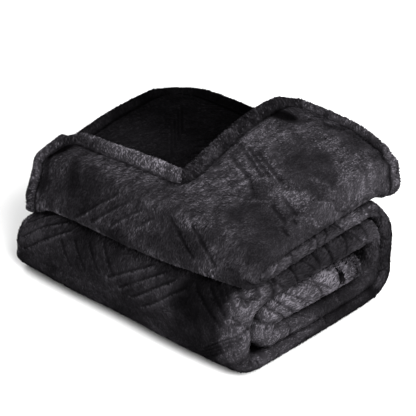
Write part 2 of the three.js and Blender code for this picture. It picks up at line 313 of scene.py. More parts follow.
def columns_across(step_one, step_four):
    """The columns (x, n, turn, ply, run) from the top ply's hem round to the second ply's hem."""
    columns = []
    run = 0.0

    def add(x, n, turn, ply):
        nonlocal run
        if columns:
            run += math.hypot(x - columns[-1][0], n - columns[-1][1])
        columns.append((x, n, turn, ply, run))

    outer, inner = 1.5 * PITCH, 0.5 * PITCH
    wrap = RIGHT - HALF_STRIP
    lip = FOLD_LEFT + inner + PLY / 2
    hem = HEM_STEPS if step_one < STEP_HIDDEN else HEM_STEPS[::2]
    for distance in hem:
        add(LEFT + distance, outer, 0, 1)
    for x in spread(LEFT + HEM_STEPS[-1] + step_one, ARM_X, step_one):
        add(x, outer, 0, 1)
    for distance in HEM_STEPS if step_one < STEP_HIDDEN else [0]:
        add(ARM_X + distance, outer, 0, 1)
    for x in spread(ARM_X + HEM_STEPS[-1] + step_one, wrap, step_one):
        add(x, outer, 0, 1)
    for i in range(ROUND_STEPS + 1):
        turn = math.pi * i / ROUND_STEPS
        add(wrap + outer * math.sin(turn), outer * math.cos(turn), turn, 4)
    for x in spread(wrap, lip, step_four)[1:]:
        add(x, -outer, math.pi, 4)
    for i in range(CURL_STEPS + 1):
        turn = math.pi + math.pi * i / CURL_STEPS
        add(lip + inner * math.sin(turn), -2 * inner + inner * math.cos(turn), turn, 3)
    for x in spread(lip, wrap, STEP_HIDDEN)[1:]:
        add(x, -inner, 0, 3)
    for i in range(CURL_STEPS + 1):
        turn = math.pi * i / CURL_STEPS
        add(wrap + inner * math.sin(turn), -inner * math.cos(turn), -turn, 2)
    hem_start = HEM_TWO + HEM_STEPS[-1]
    for x in spread(wrap, hem_start, STEP_HIDDEN)[1:]:
        add(x, inner, -math.pi, 2)
    for distance in HEM_STEPS[::-2]:
        add(HEM_TWO + distance, inner, -math.pi, 2)
    return np.array(columns)


COLUMN_SETS = {
    "top ply": columns_across(STEP_SEEN, STEP_HIDDEN),
    "bottom ply": columns_across(STEP_HIDDEN, STEP_SEEN),
    "bottom ply, back": columns_across(STEP_HIDDEN, STEP_BACK),
    "hidden": columns_across(STEP_HIDDEN, STEP_HIDDEN),
}
print({name: len(columns) for name, columns in COLUMN_SETS.items()}, "columns")

# %% [markdown]
# Along the strip each corner is a quarter turn. The side of the strip that shows decides which
# plies get the fine net: the top ply on the upper bundle, and the bottom ply on the lower bundle
# and the back, where the strip has turned over.

# %% Rows along the strip
STEP_INSIDE = 5.0
# for each run between two corners: net of the columns, step of the rows
NETS = [
    ("top ply", STEP_SEEN), ("top ply", STEP_SEEN), ("hidden", STEP_INSIDE),
    ("bottom ply, back", STEP_BACK), ("hidden", 8.0), ("bottom ply", STEP_SEEN),
    ("hidden", STEP_INSIDE), ("hidden", STEP_INSIDE), ("hidden", STEP_INSIDE),
    ("hidden", STEP_INSIDE), ("hidden", STEP_INSIDE),
]


def rows_along():
    """The rows (y, z, ny, nz, part, run) and the net of each, from the open to the inner end."""
    rows, nets = [], []
    run = 0.0

    def add(y, z, ny, nz, part, net):
        nonlocal run
        if rows:
            step = math.hypot(y - rows[-1][0], z - rows[-1][1])
            if step < NEARLY:
                return
            run += step
        rows.append((y, z, ny, nz, part, run))
        nets.append(net)

    corners = [(y, HALF_STRIP + level * LEVEL, turn) for name, y, level, turn in WAY]
    first_y, first_z = corners[0][:2]
    stops = [first_y - distance for distance in HEM_STEPS]
    stops += spread(stops[-1] - STEP_SEEN, ARM_Y, STEP_SEEN)
    stops += [ARM_Y - distance for distance in HEM_STEPS]
    stops += spread(stops[-1] - STEP_SEEN, corners[1][0] + corners[1][2], STEP_SEEN)
    for y in stops:
        add(y, first_z, 0, 1, 0, "top ply")
    for k in range(1, len(corners) - 1):
        before, here, after = corners[k - 1], corners[k], corners[k + 1]
        in_length = math.hypot(here[0] - before[0], here[1] - before[1])
        out_length = math.hypot(after[0] - here[0], after[1] - here[1])
        dy, dz = (here[0] - before[0]) / in_length, (here[1] - before[1]) / in_length
        ey, ez = (after[0] - here[0]) / out_length, (after[1] - here[1]) / out_length
        turn = here[2]
        seen = min(NETS[k - 1][1], NETS[k][1])
        steps = max(3, round((turn + HALF_STRIP) * math.pi / 2 / seen))
        for i in range(steps + 1):
            t = math.pi / 2 * i / steps
            s, c = math.sin(t), math.cos(t)
            y = here[0] - dy * turn * (1 - s) + ey * turn * (1 - c)
            z = here[1] - dz * turn * (1 - s) + ez * turn * (1 - c)
            net = NETS[k - 1][0] if NETS[k - 1][1] < NETS[k][1] else NETS[k][0]
            add(y, z, dz * c + ez * s, -(dy * c + ey * s), k, net)
        length = out_length - turn - after[2]
        for along in spread(0, length, NETS[k][1])[1:]:
            out = turn + along
            add(here[0] + ey * out, here[1] + ez * out, ez, -ey, k, NETS[k][0])
    end_y, end_z = corners[-1][:2]
    for distance in HEM_STEPS[::-2]:
        add(end_y - distance, end_z, 0, -1, len(corners) - 1, "hidden")
    return np.array(rows), nets


ROWS, ROW_NETS = rows_along()
ALONG = ROWS[-1, 5]
ACROSS = COLUMN_SETS["hidden"][-1, 4]
print(len(ROWS), "rows; the cloth is", round(ACROSS), "by", round(ALONG), "mm as it is folded")

# %% [markdown]
# The net is laid out as arrays: each row of the strip has its columns, and faces join the rows.
# The corner that the top ply lacks at the back left is left out of the faces.


# %% The net of the cloth
def zip_rows(first, second, runs_first, runs_second):
    """Triangles between two rows of different columns, always taking the nearer next column."""
    triangles = []
    i = j = 0
    while i < len(first) - 1 or j < len(second) - 1:
        if j == len(second) - 1:
            ahead = True
        elif i == len(first) - 1:
            ahead = False
        else:
            ahead = runs_first[i + 1] <= runs_second[j + 1]
        if ahead:
            triangles.append((first[i], first[i + 1], second[j]))
            i += 1
        else:
            triangles.append((first[i], second[j + 1], second[j]))
            j += 1
    return triangles


def cloth_net():
    """Every point of the net as (column, row) values, and the faces between them."""
    columns, rows, ids = [], [], []
    count = 0
    for row, net in zip(ROWS, ROW_NETS):
        own = COLUMN_SETS[net]
        ids.append(list(range(count, count + len(own))))
        count += len(own)
        columns.append(own)
        rows.append(np.repeat(row[None, :], len(own), axis=0))
    faces = []
    for r in range(len(ROWS) - 1):
        a, b = ids[r], ids[r + 1]
        own, nxt = COLUMN_SETS[ROW_NETS[r]], COLUMN_SETS[ROW_NETS[r + 1]]
        if ROW_NETS[r] != ROW_NETS[r + 1]:
            faces += zip_rows(a, b, own[:, 4], nxt[:, 4])
            continue
        for c in range(len(own) - 1):
            in_cut = ROWS[r, 4] == 0 and own[c, 3] == 1 and own[c + 1, 0] < ARM_X + NEARLY
            if in_cut and ROWS[r + 1, 0] > ARM_Y - NEARLY:
                continue
            faces.append((a[c], a[c + 1], b[c + 1], b[c]))
    return np.concatenate(columns), np.concatenate(rows), faces


columns, rows, faces = cloth_net()
print(len(columns), "points of the net,", len(faces), "faces")

# %% [markdown]
# Each point goes out from the middle of the cloth to its two faces. The hem's profile is applied
# fully where the hem lies free, on the top ply, and elsewhere the cloth is a ply thick at most.
# The bundle is then moved to the middle of the floor, with room under it for its pile.


# %% The two faces of the cloth
def hem_thickness(distance):
    """Thickness as a share of a ply, at a distance from the cloth's edge."""
    return np.interp(distance, HEM_STEPS, [thickness for d, thickness in HEM_PROFILE])


def cloth_points(columns, rows, side):
    """Where the upper (side 1) or under (side -1) face of the cloth lies at points of the net."""
    x, n, turn, ply, across = columns.T
    y, z, ny, nz, part, along = rows.T
    edge = np.minimum.reduce([across, ACROSS - across, along, ALONG - along])
    top = (part == 0) & (ply == 1)
    arm = np.hypot(np.maximum(0, x - ARM_X), np.maximum(0, ARM_Y - y))
    edge = np.where(top, np.minimum(edge, arm), edge)
    thick = hem_thickness(np.maximum(0, edge))
    free = (part <= 1) & ((ply == 1) | ((ply == 2) & (part == 0)))
    outer = np.where(ply == 1, side > 0, side < 0)
    proud = np.where(free & outer, np.maximum(0, thick - 1), 0) * PLY / 2
    thick = np.minimum(1, thick)
    off = side * (thick * PLY / 2 - np.minimum(PILE_ROOM, thick * PLY / 4))
    middle = settle(x, y + ny * n, z + nz * n)
    across_x = x + np.sin(turn) * off
    up = n + np.cos(turn) * off
    face = settle(across_x, y + ny * up, z + nz * up)
    outward = face - middle
    outward /= np.maximum(1e-9, np.linalg.norm(outward, axis=1, keepdims=True))
    return face + outward * proud[:, None]


outer_side = cloth_points(columns, rows, 1)
inner_side = cloth_points(columns, rows, -1)
lowest = np.minimum(outer_side.min(axis=0), inner_side.min(axis=0))
highest = np.maximum(outer_side.max(axis=0), inner_side.max(axis=0))
middle = (lowest + highest) / 2
shift = np.array([-middle[0], -middle[1], PILE_ROOM - lowest[2]])
outer_side += shift
inner_side += shift
print("the two faces measure", (highest - lowest).round(1), "mm")

# %% [markdown]
# The lattice is pressed into the cloth with hot rollers: groups of parallel grooves in two slanted
# directions that take turns, like a woven basket. In a groove the pile lies flat and in shade; it
# is drawn as a thin dark line of partly painted shade, and the lip beside it gets a painted
# highlight.
# The groups that the photograph shows are placed by the places on the cloth of their first and
# last groove, and the rest of the cloth continues the same pattern. On the real throw this is done
# in the cloth, so here it moves the points of the skin, and later the tufts.

# %% The pressed lattice
# first groove (across, along to across, along), last groove, how many, how deep, how strong the
# painted highlight on its lip is; a lip that is less than nothing lies on the side towards the
# open end
GROUPS = [
    ((648, 803, 605, 820), (643, 773, 580, 808), 3, 0.8, -1.0),
    ((587, 797, 567, 776), (530, 810, 502, 787), 4, 1.0, -0.4),
    ((510, 784, 460, 811), (461, 771, 411, 804), 4, 0.8, -1.0),
    ((402, 808, 360, 783), (357, 816, 342, 806), 4, 1.0, -0.4),
    ((90, 229, 159, 189), (190, 211, 206, 198), 4, 0.7, 0.8),
    ((226, 194, 262, 218), (250, 193, 286, 217), 2, 0.9, 0.3),
    ((216, 100, 258, 119), (235, 99, 279, 116), 3, 1.6, 0.4),
    ((218, 114, 251, 126), (251, 126, 269, 141), 2, 1.4, 0.3),
    ((289, 128, 316, 137), (288, 140, 320, 153), 2, 1.3, 0.3),
    ((265, 148, 282, 136), (300, 93, 316, 85), 3, 0.5, 0.9),
    ((312, 128, 326, 119), (311, 106, 331, 89), 2, 0.6, 0.9),
    ((300, 42, 320, 47), (306, 48, 324, 52), 2, 0.8, 0.4),
]
GROOVE_HALF, GROOVE_DEPTH = 1.0, 0.3
LIP_AT, LIP_HALF = 1.9, 0.8
# what a step along the strip counts when the distance to a groove is measured
ALONG_SCALE = 0.8
GROUP_MARGIN = 8
# the pattern elsewhere: where it starts and stops (across, along), the step between its groups,
# what the table covers (across from and to, along from and to), the shape of a group and its look
PATTERN_FROM, PATTERN_TO, REPEAT = (30, 20), (1200, 1260), 75
IN_TABLE = [(0, 340, 0, 260), (330, 660, 700, 860)]
GROOVE_LONG, GROOVE_SLANT, TO_LAST = 48, 18, (24, -32)
EVEN_GROUP = (4, 0.9, 0.5)


def group_grooves(first, last, count):
    """Evenly spaced grooves from the first to the last, as rows (across, along, across, along)."""
    shares = np.linspace(0, 1, count)[:, None]
    return np.array(first) * (1 - shares) + np.array(last) * shares


def lattice_elsewhere():
    """Groups that take turns in two directions, for the parts that the photograph hides."""
    groups = []
    for i, u in enumerate(np.arange(PATTERN_FROM[0], PATTERN_TO[0], REPEAT)):
        for j, v in enumerate(np.arange(PATTERN_FROM[1], PATTERN_TO[1], REPEAT)):
            if any(a < u < b and c < v < d for a, b, c, d in IN_TABLE):
                continue
            slant = GROOVE_SLANT if (i + j) % 2 else -GROOVE_SLANT
            first = np.array([u, v - slant, u + GROOVE_LONG, v + slant])
            groups.append((first, first + TO_LAST * 2, *EVEN_GROUP))
    return groups


LATTICE = GROUPS + lattice_elsewhere()


def lattice(across, along):
    """The lattice's depth and the painted highlight on its lips, at points of the cloth."""
    deep, lip = np.zeros_like(across), np.zeros_like(across)
    for first, last, count, depth, bright in LATTICE:
        ends = np.reshape([*first, *last], (4, 2))
        low, high = ends.min(axis=0) - GROUP_MARGIN, ends.max(axis=0) + GROUP_MARGIN
        near = (across > low[0]) & (across < high[0]) & (along > low[1]) & (along < high[1])
        if not near.any():
            continue
        u, v = across[near], along[near] * ALONG_SCALE
        own_deep, own_highlight = deep[near], lip[near]
        for u0, v0, u1, v1 in group_grooves(first, last, count):
            v0, v1 = v0 * ALONG_SCALE, v1 * ALONG_SCALE
            du, dv = u1 - u0, v1 - v0
            t = np.clip(((u - u0) * du + (v - v0) * dv) / (du * du + dv * dv), 0, 1)
            off_u, off_v = u - u0 - t * du, v - v0 - t * dv
            far = np.hypot(off_u, off_v)
            beyond = far * np.sign(off_v) * np.sign(bright)
            own_deep = np.maximum(own_deep, depth * np.exp(-((far / GROOVE_HALF) ** 2)))
            # the painted highlight on the lip, on one side of the groove
            own = abs(bright) * np.exp(-(((beyond - LIP_AT) / LIP_HALF) ** 2))
            own_highlight = np.maximum(own_highlight, own)
        deep[near], lip[near] = own_deep, own_highlight
    return deep, lip


print(len(LATTICE), "groups,", len(GROUPS), "of them from the table")

# %% [markdown]
# The strip was laid out as an even stack, but in the real bundle some stretches of cloth came out
# longer and some shorter. Pressed lines would zigzag there. So places along the strip are measured
# again on the cloth itself, column by column. Each part of the strip keeps its ends, and the
# parts of the upper bundle are measured as one, because the photograph shows lines across them.

# %% Places along the strip
UPPER_PARTS = 2


def even_along():
    """Places along the strip that keep pace with the folded cloth inside each of its parts."""
    made = rows[:, 5].copy()
    column_of = np.unique(columns[:, 3:5].round(3), axis=0, return_inverse=True)[1].ravel()
    order = np.lexsort((rows[:, 5], column_of))
    for ids in np.split(order, np.flatnonzero(np.diff(column_of[order])) + 1):
        steps = np.linalg.norm(np.diff(outer_side[ids], axis=0), axis=1)
        gone = np.concatenate([[0], np.cumsum(steps)])
        borders = np.flatnonzero((np.diff(rows[ids, 4]) != 0) & (rows[ids[1:], 4] > UPPER_PARTS))
        borders = np.unique(np.concatenate([[0], borders, [len(ids) - 1]]))
        made[ids] = np.interp(gone, gone[borders], rows[ids, 5][borders])
    return made


across, along = columns[:, 4], even_along()
print("places moved along by up to", round(float(np.abs(along - rows[:, 5]).max()), 1), "mm")
pressed = lattice(across, along)[0]
print("grooves on", round(100 * float((pressed > 0.5).mean()), 1), "% of the net's points")

# %% [markdown]
# Where the strip is folded at the right end, the thick cloth can't turn smoothly: it bulges, and
# short creases run across the fold between the bulges. They are soft troughs in the skin, one row
# of the table for each, and the tufts in them get painted shade.

# %% Creases at the right end
# along the strip, middle across, half its length, slant, depth
CREASES = [
    (222, 330, 9, 0.5, 2.0), (241, 334, 12, 0.2, 2.5), (262, 336, 10, -0.3, 1.5),
    (288, 337, 12, 0.3, 2.0), (299, 338, 12, -0.2, 2.2), (313, 340, 12, 0.2, 2.4),
    (331, 341, 10, -0.3, 1.6), (790, 342, 14, 0.3, 2.2), (812, 344, 12, -0.2, 1.5),
    (838, 342, 14, 0.2, 2.0), (856, 340, 16, 0.3, 2.6), (872, 342, 14, -0.2, 1.8),
    (884, 342, 14, 0.2, 2.2), (899, 340, 15, 0.1, 2.6), (921, 341, 14, 0.3, 2.0),
    (944, 343, 12, -0.2, 1.6), (1120, 332, 14, 0.2, 2.0), (1134, 334, 14, 0.3, 2.4),
    (1153, 342, 12, -0.2, 1.6), (1171, 340, 16, 0.2, 2.8), (1181, 336, 16, 0.3, 2.6),
    (1191, 336, 14, 0.1, 2.4), (1206, 336, 14, -0.3, 2.0), (1228, 334, 14, 0.2, 2.2),
    (1250, 336, 12, -0.2, 1.8),
]
CREASE_HALF, CREASE_REACH = 3.0, 14


def creases(across, along, half):
    """How deep the creases are at points of the cloth, in millimetres, for a half width."""
    depth = np.zeros_like(across)
    for place, middle, length, slant, deep in CREASES:
        near = (np.abs(along - place) < CREASE_REACH) & (np.abs(across - middle) < 2 * length)
        u, v = across[near] - middle, along[near] - place
        trough = deep * np.exp(-(((v - slant * u) / half) ** 2) - (u / length) ** 4)
        depth[near] = np.maximum(depth[near], trough)
    return depth


def net_normals(points, faces):
    """Normals at the points of a net of quads and triangles."""
    normals = np.zeros_like(points)
    for size in (3, 4):
        own = np.array([face for face in faces if len(face) == size])
        corners = points[own]
        normal = np.cross(corners[:, 2] - corners[:, 0], corners[:, -1] - corners[:, 1])
        for i in range(size):
            np.add.at(normals, own[:, i], normal)
    return normals / np.maximum(1e-12, np.linalg.norm(normals, axis=1, keepdims=True))


creased = creases(across, along, CREASE_HALF)
upper_faces = [tuple(reversed(face)) for face in faces]
normals = net_normals(outer_side, upper_faces)
outer_side -= normals * (pressed * GROOVE_DEPTH + creased)[:, None]
print(len(CREASES), "creases, the deepest", round(float(creased.max()), 1), "mm")

# %% [markdown]
# The two faces of the cloth and the thin walls along its edges are joined into one closed skin.
# Each point keeps its place on the flat cloth, in millimetres across and along.


# %% The skin of the cloth
def mesh_object(name, points, faces):
    """A smooth mesh object from points in millimetres."""
    mesh = bpy.data.meshes.new(name)
    mesh.from_pydata([tuple(p) for p in points * MM], [], faces)
    mesh.shade_smooth()
    made = bpy.data.objects.new(name, mesh)
    bpy.context.scene.collection.objects.link(made)
    return made


def border_walls(faces, count):
    """Faces that close the net's free edges between its two sides."""
    used = {(i, j) for face in faces for i, j in zip(face, face[1:] + face[:1])}
    return [(i, j, j + count, i + count) for i, j in sorted(used) if (j, i) not in used]


net_size = len(columns)
lower_faces = [tuple(i + net_size for i in face) for face in faces]
skin_faces = upper_faces + lower_faces + border_walls(faces, net_size)
skin_points = np.concatenate([outer_side, inner_side])
throw = mesh_object("throw", skin_points, skin_faces)
print(sum(len(face) - 2 for face in skin_faces), "triangles in the skin")

# %% [markdown]
# The pile only needs tufts where it can be seen. From the middle of every face a few rays look
# out into the room: the share that meets no cloth says how open the place is. Deep between the
# layers it is near nothing, and there the pile is thinner and gets painted shade.


# %% How open each place is
RAYS, RAY_REACH = 22, 0.4
LIFT_OFF, LOW_RAY = 0.6, 0.12
FACES_DOWN, NEAR_FLOOR = -0.6, 6
SHOWS_FROM = 0.04


def even_directions(count):
    """Directions spread evenly over a sphere."""
    i = np.arange(count) + 0.5
    z = 1 - 2 * i / count
    turn = math.pi * (1 + 5**0.5) * i
    flat = np.sqrt(1 - z * z)
    return np.stack([flat * np.cos(turn), flat * np.sin(turn), z], axis=1)


def openness(middles, normals, tree):
    """For each place, the share of rays on its outer side that leave the bundle."""
    ways = even_directions(RAYS)
    facing = normals @ ways.T
    rays = [Vector(way) for way in ways]
    shares = np.zeros(len(middles))
    for k in range(len(middles)):
        start = Vector((middles[k] + normals[k] * LIFT_OFF) * MM)
        tried = np.flatnonzero(facing[k] > LOW_RAY)
        met = sum(tree.ray_cast(start, rays[j], RAY_REACH)[0] is not None for j in tried)
        shares[k] = 1 - met / max(1, len(tried))
    return shares


def point_average(values, faces, count):
    """The average of the values of the faces round each point."""
    total, met = np.zeros(count), np.zeros(count)
    for i in range(4):
        np.add.at(total, faces[:, i], values)
        np.add.at(met, faces[:, i], 1)
    return total / np.maximum(1, met)


pile_faces = np.array([f for f in skin_faces[: 2 * len(faces)] if len(f) == 4])
corners = skin_points[pile_faces]
face_normals = np.cross(corners[:, 2] - corners[:, 0], corners[:, 3] - corners[:, 1])
face_areas = np.linalg.norm(face_normals, axis=1) / 2
face_normals /= np.maximum(1e-9, 2 * face_areas[:, None])
middles = corners.mean(axis=1)
tree = BVHTree.FromPolygons([Vector(p) for p in skin_points * MM], skin_faces)
on_table = (face_normals[:, 2] < FACES_DOWN) & (middles[:, 2] < NEAR_FLOOR)
open_share = np.zeros(len(pile_faces))
open_share[~on_table] = openness(middles[~on_table], face_normals[~on_table], tree)
shown = open_share > SHOWS_FROM
point_open = point_average(open_share, pile_faces, len(skin_points))
point_open = point_average(point_open[pile_faces].mean(axis=1), pile_faces, len(skin_points))
print(int(shown.sum()), "of", len(pile_faces), "faces show,",
      round(float(face_areas[shown].sum()) / 1e6, 3), "square metres")

# %% [markdown]
# Each tuft grows from a random place on a face that shows, and fewer grow where little light gets
# in. A tuft has to know where that place is on the flat cloth, and which way the cloth's two
# directions run there, because the lattice and the brushing are given on the flat cloth.


# %% Where the tufts grow
TUFTS = 198000
HIDDEN_SHARE, OPEN_FROM = 0.5, 0.5
seeded = np.random.default_rng(11)


def unit(vectors):
    """The vectors at a length of one."""
    return vectors / np.maximum(1e-9, np.linalg.norm(vectors, axis=1, keepdims=True))


point_normals = np.zeros_like(skin_points)
for i in range(4):
    np.add.at(point_normals, pile_faces[:, i], face_normals * face_areas[:, None])
point_normals = unit(point_normals)
thick = HIDDEN_SHARE + (1 - HIDDEN_SHARE) * np.minimum(1, open_share / OPEN_FROM)
weights = np.where(shown, face_areas * thick, 0)
chosen = seeded.choice(len(pile_faces), size=TUFTS, p=weights / weights.sum())
s, t = seeded.random(TUFTS), seeded.random(TUFTS)
shares = np.stack([(1 - s) * (1 - t), s * (1 - t), s * t, (1 - s) * t], axis=1)
ids = pile_faces[chosen]
flat_ids = ids % net_size


def at_root(values):
    """The values at the roots of what is given for the four corners of their faces."""
    own = shares if values.ndim == 2 else shares[:, :, None]
    return (own * values).sum(axis=1)


roots = at_root(skin_points[ids])
up = unit(at_root(point_normals[ids]))
open_here = at_root(point_open[ids])
u_root, v_root = at_root(across[flat_ids]), at_root(along[flat_ids])
to_one, to_three = (skin_points[ids[:, i]] - skin_points[ids[:, 2]] for i in (1, 3))
u_one, u_three = (across[flat_ids[:, i]] - across[flat_ids[:, 2]] for i in (1, 3))
v_one, v_three = (along[flat_ids[:, i]] - along[flat_ids[:, 2]] for i in (1, 3))
one_is_across = np.abs(u_one) > np.abs(u_three)
way_across = unit(np.where(one_is_across[:, None], to_one * np.sign(u_one)[:, None],
                           to_three * np.sign(u_three)[:, None]))
way_along = unit(np.where(one_is_across[:, None], to_three * np.sign(v_three)[:, None],
                          to_one * np.sign(v_one)[:, None]))
print(TUFTS, "roots on", len(np.unique(chosen)), "faces")

# %% [markdown]
# The pile of the hem runs over the tube to the edge, and the recess that the top ply leaves at the
# back left gets painted shade. So every root also gets its distance from the nearest edge of the
# cloth, or from the two arms of the top ply's hem, and the way to that edge across and along.

# %% Hem and recess
HEM_FADE = (18, 14)
EDGE_WAYS = np.array([(-1.0, 0.0), (0.0, -1.0), (1.0, 0.0), (0.0, 1.0)])

root_part, root_ply = rows[flat_ids[:, 0], 4], columns[flat_ids[:, 0], 3]
root_x, root_y = at_root(columns[flat_ids, 0]), at_root(rows[flat_ids, 0])
on_top = (root_part == 0) & (root_ply == 1)
edges = np.stack([u_root, v_root, ACROSS - u_root, ALONG - v_root], axis=1)
to_edge = EDGE_WAYS[edges.argmin(axis=1)]
root_edge = edges.min(axis=1)
from_arm = np.stack([np.maximum(0, root_x - ARM_X), np.maximum(0, ARM_Y - root_y)], axis=1)
arm = np.hypot(from_arm[:, 0], from_arm[:, 1])
at_arm = on_top & (arm < root_edge)
to_edge[at_arm] = -from_arm[at_arm] / np.maximum(1e-6, arm[at_arm])[:, None]
root_edge = np.where(at_arm, arm, root_edge)
on_hem = smooth(*HEM_FADE, root_edge)
in_recess = (ids[:, 0] >= net_size) & (root_part == 0) & (root_ply == 2)
print(int((on_hem > 0.5).sum()), "roots on the hem,", int(in_recess.sum()), "in the recess")

# %% [markdown]
# Soft random noise is what makes pile look brushed. It is drawn on a square grid of random values
# and read between them. A few sizes together give clouds. Stretched along the direction of the
# pile it gives the streaks of fibres that cling together.

# %% Noise on the flat cloth
GRID = 512
# how strong each size of cloud is, and how many times finer than the first
CLOUD_SIZES = [(1, 1), (0.6, 2.3), (0.35, 5)]
STREAK_TURNS, TURN_HALF, TURN_LEAST = (-1.2, -0.6, 0.0, 0.6, 1.2), 0.35, 1e-3
STREAK_SIZE, STREAK_STRETCH, STREAK_SEED = 1.6, 3.2, 81


def noise(u, v, size, seed):
    """Soft noise from -1 to 1 whose features are about as large as the size."""
    grid = np.random.default_rng(seed).uniform(-1, 1, (GRID, GRID))
    a, b = u / size, v / size
    i, j = np.floor(a).astype(int), np.floor(b).astype(int)
    s, t = a - i, b - j
    s, t = s * s * (3 - 2 * s), t * t * (3 - 2 * t)
    i, j, i_next, j_next = i % GRID, j % GRID, (i + 1) % GRID, (j + 1) % GRID
    return ((grid[i, j] * (1 - s) + grid[i_next, j] * s) * (1 - t)
            + (grid[i, j_next] * (1 - s) + grid[i_next, j_next] * s) * t)


def clouds(u, v, size, seed):
    """Noise of three sizes together."""
    return sum(strength * noise(u, v, size / finer, seed + k)
               for k, (strength, finer) in enumerate(CLOUD_SIZES))


def streaks(u, v, angle):
    """Fine noise that is stretched along the direction of the pile."""
    total, share = np.zeros_like(u), np.zeros_like(u)
    for k, turn in enumerate(STREAK_TURNS):
        weight = np.exp(-(((angle - turn) / TURN_HALF) ** 2)) + TURN_LEAST
        long = u * math.sin(turn) + v * math.cos(turn)
        wide = u * math.cos(turn) - v * math.sin(turn)
        total += weight * noise(wide, long / STREAK_STRETCH, STREAK_SIZE, STREAK_SEED + k)
        share += weight
    return total / share


print("clouds spread by", round(float(clouds(u_root, v_root, size=90, seed=3).std()), 2))

# %% [markdown]
# The tone of the pile changes with how it was last brushed. The patches that the photograph shows
# are in the table, each an oval on the cloth; clouds of noise go on in the same way elsewhere.
# Some ovals are painted light and shade instead: painted shade in the two pockets behind the hem,
# and painted highlights on the lips of the right end and on the lower bundle's front corner. A
# rough patch is light and streaky, a smooth one dark and even. The under side of the throw, which
# shows on the lower bundle, was pressed when it was packed and is smoother, and so is the recess.

# %% Brushed patches, painted light and shade
# middle across and along, half its size across and along, how light
PATCHES_AND_PAINTED_LIGHT = [
    (150, 205, 130, 34, -0.45), (300, 212, 50, 30, -0.4),
    (110, 196, 40, 22, -0.9), (110, 222, 44, 9, -0.4), (60, 198, 12, 22, 0.2),
    (205, 182, 28, 15, -0.1), (209, 216, 22, 8, -0.5), (254, 204, 24, 10, -0.7),
    (170, 225, 20, 8, -0.6), (293, 159, 24, 14, -0.7), (280, 83, 26, 15, -0.7),
    (225, 76, 26, 16, 0.8), (246, 112, 26, 14, 0.7), (246, 145, 20, 13, 0.3),
    (300, 122, 22, 14, 0.7), (316, 50, 16, 24, 0.8), (262, 52, 32, 12, 0.8),
    (318, 203, 16, 16, 0.0), (310, 222, 24, 10, -0.8),
    # the first oval on the next line is a painted highlight on the lower bundle's front corner
    (346, 784, 20, 50, 1.3), (396, 798, 34, 28, -1.3), (640, 800, 26, 20, 0.8),
    # the next three ovals are painted highlights on the lips of the right end
    (335, 1150, 20, 20, 1.2), (332, 1205, 24, 44, 1.0), (336, 1252, 18, 20, 0.9),
    (344, 880, 20, 70, -0.9), (336, 285, 14, 50, -0.4), (345, 560, 30, 110, -1.3),
    # the first two ovals on the next line are painted shade in the pockets behind the hem
    (221, 50, 18, 7, -3.2), (33, 168, 14, 11, -2.6), (26, 196, 6, 24, -0.9),
    (326, 170, 16, 26, -0.4), (328, 1040, 22, 60, -0.8), (325, 460, 18, 80, -0.9),
]
# how far an oval's edge wavers, where it fades, and how much less it shows on the hem
WOBBLE, OVAL_EDGE, ON_HEM_LESS = 0.35, (1.3, 0.6), 0.8
# how light the clouds are, how hard their edges, and how much less they show in an oval
CLOUD_LIGHT, CLOUD_EDGE, COVERED_LESS = 0.55, 1.3, 0.3
SMALL_LIGHT, SMALL_EDGE = 0.28, 1.5
HEM_CLOUDS = 0.7
# the under side starts this far across, with a wavy edge, and stops this far along
UNDER_FROM, UNDER_WAVE, UNDER_UNTIL = 360, 6, 835
# the right end is smoother from here on
END_FROM, END_SMOOTH = 312, 0.45
# half the span of tones from smooth to rough, and how rough the pile is in each place
HALF_ROUGH = 0.9
UNDER_ROUGH, RECESS_ROUGH, HEM_ROUGH = 0.5, 0.4, 0.85
RECESS_LESS = 0.5

patches, covered = np.zeros(TUFTS), np.zeros(TUFTS)
wobble = WOBBLE * noise(u_root, v_root, size=12, seed=51)
# brushed patches, with painted shade and painted highlights among them
for middle_u, middle_v, half_u, half_v, tone in PATCHES_AND_PAINTED_LIGHT:
    far = np.hypot((u_root - middle_u) / half_u, (v_root - middle_v) / half_v) + wobble
    oval = smooth(*OVAL_EDGE, far) * (root_ply != 2) * (1 - ON_HEM_LESS * on_hem)
    patches += tone * oval
    covered = np.maximum(covered, oval)
cloudy = np.tanh(CLOUD_EDGE * clouds(u_root, v_root, size=62, seed=41))
light = patches + cloudy * (CLOUD_LIGHT - COVERED_LESS * covered)
light += SMALL_LIGHT * np.tanh(SMALL_EDGE * clouds(u_root, v_root, size=17, seed=61))
light *= np.where(in_recess, RECESS_LESS, 1)
under = (root_ply == 4) & (root_part >= 3) & (root_part <= 6) & (v_root < UNDER_UNTIL)
under &= u_root + UNDER_WAVE * noise(u_root, v_root, size=9, seed=57) > UNDER_FROM
rough = smooth(-HALF_ROUGH, HALF_ROUGH, light)
rough = rough * np.where(under, UNDER_ROUGH, 1) * np.where(in_recess, RECESS_ROUGH, 1)
rough *= 1 - END_SMOOTH * ((root_ply == 4) & (u_root > END_FROM))
rough = np.maximum(rough, HEM_ROUGH * on_hem * ~in_recess)
light += HEM_CLOUDS * on_hem * noise(u_root + v_root, u_root - v_root, size=21, seed=55)
print("patches from", round(float(light.min()), 2), "to", round(float(light.max()), 2))

# %% [markdown]
# Pile leans the way it was stroked last. Over the throw that direction swings slowly, and from
# tuft to tuft it differs a little. On the hem the pile runs over the tube towards the edge.

# %% Which way the pile leans
# how far the direction swings, in radians, and on the hem as a share of the way to its edge
SWING, SMALL_SWING, TUFT_SWING, HEM_SWING = 0.5, 0.35, 0.2, 0.35

